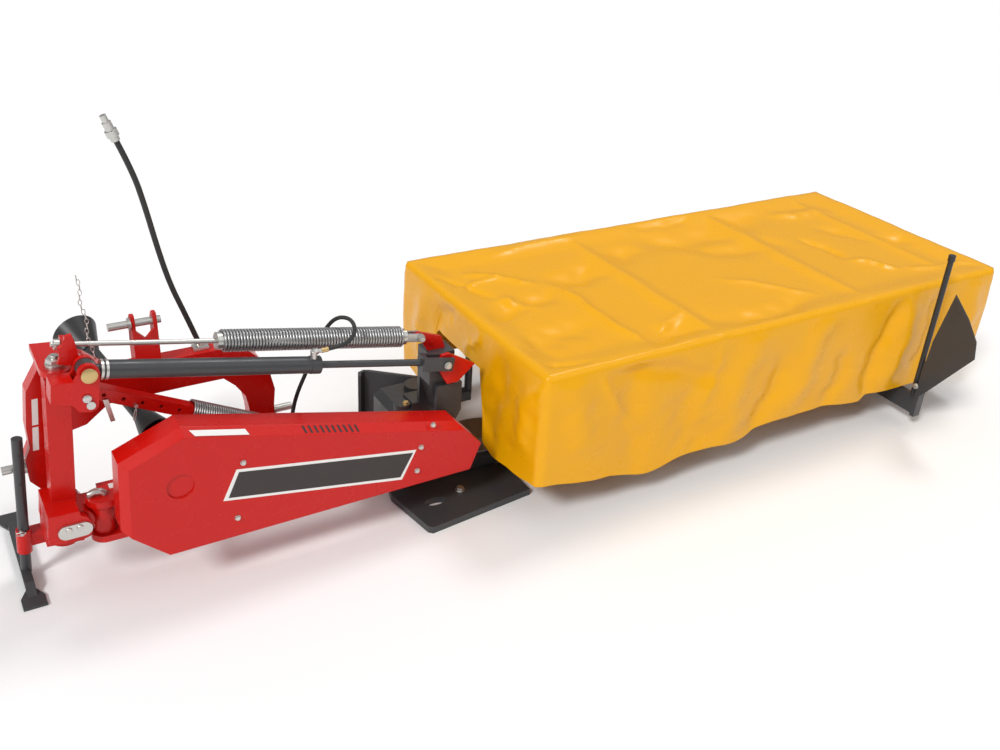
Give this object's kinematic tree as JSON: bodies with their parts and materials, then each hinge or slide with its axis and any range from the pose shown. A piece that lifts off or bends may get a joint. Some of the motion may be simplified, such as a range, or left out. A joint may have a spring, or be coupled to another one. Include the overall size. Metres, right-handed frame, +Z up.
{
  "type": "disc mower",
  "caption": "Rear-mounted disc mower with a folding cutterbar, belt drive guard, float springs and a yellow fabric canopy.",
  "frame": {"origin": "centre of the bounding box on the ground", "axes": "+X outboard along the cutterbar, +Y forward to the tractor, +Z up"},
  "size_m": [4.095, 1.4336, 1.5163],
  "materials": {
    "red_paint": "gloss",
    "guard_red": "gloss",
    "zinc_steel": "satin",
    "black_paint": "satin",
    "chrome_rod": "polished",
    "cover_fabric": "satin",
    "hose_rubber": "matte",
    "disc_steel": "satin"
  },
  "bodies": {
    "hitch": {"hitch_beam": "red_paint", "left_leg": "red_paint", "right_leg": "red_paint", "lower_link_pins": "zinc_steel", "swing_lugs": "red_paint", "kingpins": "zinc_steel", "top_link_bracket": "red_paint", "top_link_pin": "zinc_steel", "stand_sleeve": "red_paint", "hose": "hose_rubber", "hose_foot": "zinc_steel", "hose_coupler": "zinc_steel"},
    "stand": {"stand_leg": "zinc_steel"},
    "swing": {"swing_frame": "red_paint", "lift_pin": "zinc_steel", "head_pins": "zinc_steel"},
    "arm": {"arm_beam": "red_paint", "spring_anchor": "zinc_steel", "input_bearing": "red_paint", "input_shaft": "zinc_steel", "belt_guard": "guard_red", "guard_spacers": "red_paint"},
    "driveline_part": {"driveline": "black_paint"},
    "cylinder": {"cylinder_barrel": "black_paint"},
    "cylinder_stroke": {"cylinder_rod": "chrome_rod"},
    "rocker": {"spring_rocker": "red_paint"},
    "upper_spring": {"upper_spring_rod": "zinc_steel", "upper_spring_coil": "black_paint", "upper_spring_fork": "zinc_steel"},
    "lower_link": {"lower_spring_tube": "red_paint", "lower_spring_coil": "black_paint"},
    "lower_eye": {"lower_spring_eye": "zinc_steel"},
    "bar": {"cutterbar": "red_paint", "gearbox": "red_paint", "tilt_pin": "zinc_steel", "lever_bracket": "red_paint", "cylinder_lever": "red_paint", "spring_lever": "red_paint", "inner_shoe": "red_paint", "nose_plate": "black_paint", "outer_shoe": "red_paint", "swath_bracket": "red_paint", "swathboard": "red_paint", "swath_stick": "zinc_steel", "canopy_frame": "zinc_steel", "canopy_cover": "cover_fabric"},
    "rotor_1": {"disc_1": "disc_steel", "knives_1": "disc_steel"},
    "rotor_2": {"disc_2": "disc_steel", "knives_2": "disc_steel"},
    "rotor_3": {"disc_3": "disc_steel", "knives_3": "disc_steel"},
    "rotor_4": {"disc_4": "disc_steel", "knives_4": "disc_steel"},
    "rotor_5": {"disc_5": "disc_steel", "knives_5": "disc_steel"},
    "rotor_6": {"disc_6": "disc_steel", "knives_6": "disc_steel"}
  },
  "joints": [
    {"name": "stand_slide", "type": "slide", "parent": "hitch", "child": "stand", "axis": [0.0958, 0, 0.9954], "range_m": [-0.25, 0]},
    {"name": "swing_back", "type": "hinge", "parent": "hitch", "child": "swing", "pos_m": [-1.8835, 0.04624, 0.215], "axis": [-0.0958, 0, -0.9954], "range_deg": [0, 30]},
    {"name": "arm_lift", "type": "hinge", "parent": "swing", "child": "arm", "pos_m": [-1.8325, 0.03624, 0.3], "axis": [0, -1, 0], "range_deg": [0, 10]},
    {"name": "bar_tilt", "type": "hinge", "parent": "arm", "child": "bar", "pos_m": [-0.5725, 0.03624, 0.27], "axis": [0, -1, 0], "range_deg": [0, 60.5]},
    {"name": "driveline_swing", "type": "hinge", "parent": "arm", "child": "driveline_part", "pos_m": [-1.5325, 0.15624, 0.44], "axis": [1, 0, 0], "range_deg": [-18, 0]},
    {"name": "cylinder_swing", "type": "hinge", "parent": "swing", "child": "cylinder", "pos_m": [-1.7505, -0.03876, 0.834], "axis": [0, -1, 0], "range_deg": [0, 0.307]},
    {"name": "rod_slide", "type": "slide", "parent": "cylinder", "child": "cylinder_stroke", "axis": [0.9796, 0, -0.2011], "range_m": [-0.3512, 0]},
    {"name": "rocker_swing", "type": "hinge", "parent": "swing", "child": "rocker", "pos_m": [-1.7505, 0.03624, 0.834], "axis": [0, -1, 0], "range_deg": [-7.71, 0]},
    {"name": "upper_spring_slide", "type": "slide", "parent": "rocker", "child": "upper_spring", "axis": [0.9828, 0, -0.1848], "range_m": [-0.374, 0]},
    {"name": "lower_link_swing", "type": "hinge", "parent": "swing", "child": "lower_link", "pos_m": [-1.7575, 0.03624, 0.733], "axis": [0, -1, 0], "range_deg": [0, 9.04]},
    {"name": "lower_eye_slide", "type": "slide", "parent": "lower_link", "child": "lower_eye", "axis": [0.8932, 0, -0.4496], "range_m": [-0.0776, 0], "deforming": ["lower_spring_coil"]},
    {"name": "disc_1_spin", "type": "hinge", "parent": "bar", "child": "rotor_1", "pos_m": [-0.2925, 0.14124, 0.098], "axis": [0, 0, 1], "continuous": true},
    {"name": "disc_2_spin", "type": "hinge", "parent": "bar", "child": "rotor_2", "pos_m": [0.0775, 0.14124, 0.098], "axis": [0, 0, 1], "continuous": true},
    {"name": "disc_3_spin", "type": "hinge", "parent": "bar", "child": "rotor_3", "pos_m": [0.4475, 0.14124, 0.098], "axis": [0, 0, 1], "continuous": true},
    {"name": "disc_4_spin", "type": "hinge", "parent": "bar", "child": "rotor_4", "pos_m": [0.8175, 0.14124, 0.098], "axis": [0, 0, 1], "continuous": true},
    {"name": "disc_5_spin", "type": "hinge", "parent": "bar", "child": "rotor_5", "pos_m": [1.1875, 0.14124, 0.098], "axis": [0, 0, 1], "continuous": true},
    {"name": "disc_6_spin", "type": "hinge", "parent": "bar", "child": "rotor_6", "pos_m": [1.5575, 0.14124, 0.098], "axis": [0, 0, 1], "continuous": true}
  ],
  "couplings": [
    {"joint": "bar_tilt", "follows": "arm_lift", "ratio": 6},
    {"joint": "cylinder_swing", "follows": "arm_lift", "ratio": 0.00065},
    {"joint": "rod_slide", "follows": "arm_lift", "m_per_rad": -1.9952},
    {"joint": "rocker_swing", "follows": "arm_lift", "ratio": -0.74116},
    {"joint": "upper_spring_slide", "follows": "arm_lift", "m_per_rad": -2.1259},
    {"joint": "lower_link_swing", "follows": "arm_lift", "ratio": 0.87454},
    {"joint": "lower_eye_slide", "follows": "arm_lift", "m_per_rad": -0.42729},
    {"joint": "disc_2_spin", "follows": "disc_1_spin", "ratio": -1},
    {"joint": "disc_3_spin", "follows": "disc_1_spin", "ratio": 1},
    {"joint": "disc_4_spin", "follows": "disc_1_spin", "ratio": -1},
    {"joint": "disc_5_spin", "follows": "disc_1_spin", "ratio": 1},
    {"joint": "disc_6_spin", "follows": "disc_1_spin", "ratio": -1}
  ]
}
